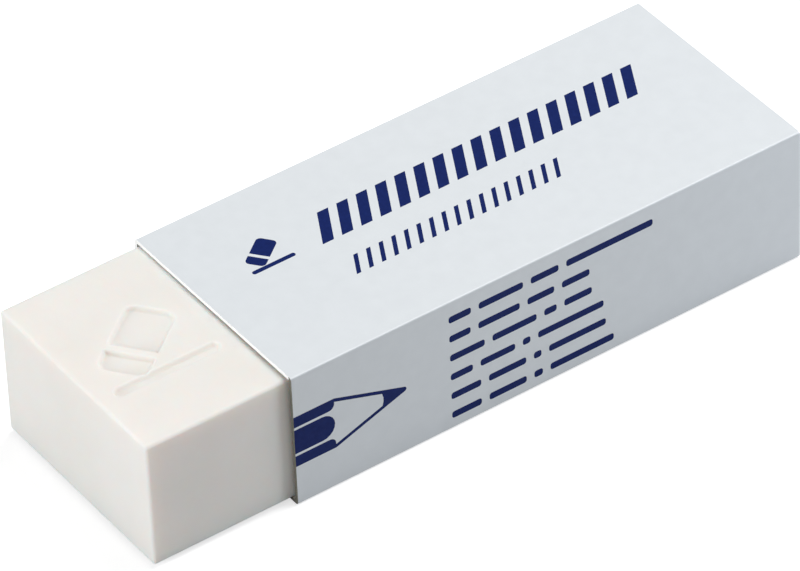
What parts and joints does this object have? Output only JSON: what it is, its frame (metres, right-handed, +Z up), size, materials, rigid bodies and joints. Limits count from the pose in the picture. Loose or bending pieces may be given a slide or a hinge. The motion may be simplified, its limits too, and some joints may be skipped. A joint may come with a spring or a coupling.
{
  "type": "plastic eraser in a card sleeve",
  "caption": "White vinyl block eraser with a bare working end, in a folded and glued card sleeve that slides along the block and pulls off its back end.",
  "frame": {"origin": "on the surface it lies on, under the middle of the whole eraser", "axes": "+X across the width towards the printed long side, +Y along the length away from the bare working end, +Z up"},
  "size_m": [0.0234, 0.067, 0.014],
  "materials": {
    "vinyl": "matte",
    "sleeve_card": "satin"
  },
  "bodies": {
    "eraser": {"eraser_block": "vinyl"},
    "sleeve": {"card_sleeve": "sleeve_card"}
  },
  "joints": [
    {"name": "sleeve_slide", "type": "slide", "parent": "eraser", "child": "sleeve", "axis": [0, 1, 0], "range_m": [-0.014, 0.053]}
  ]
}
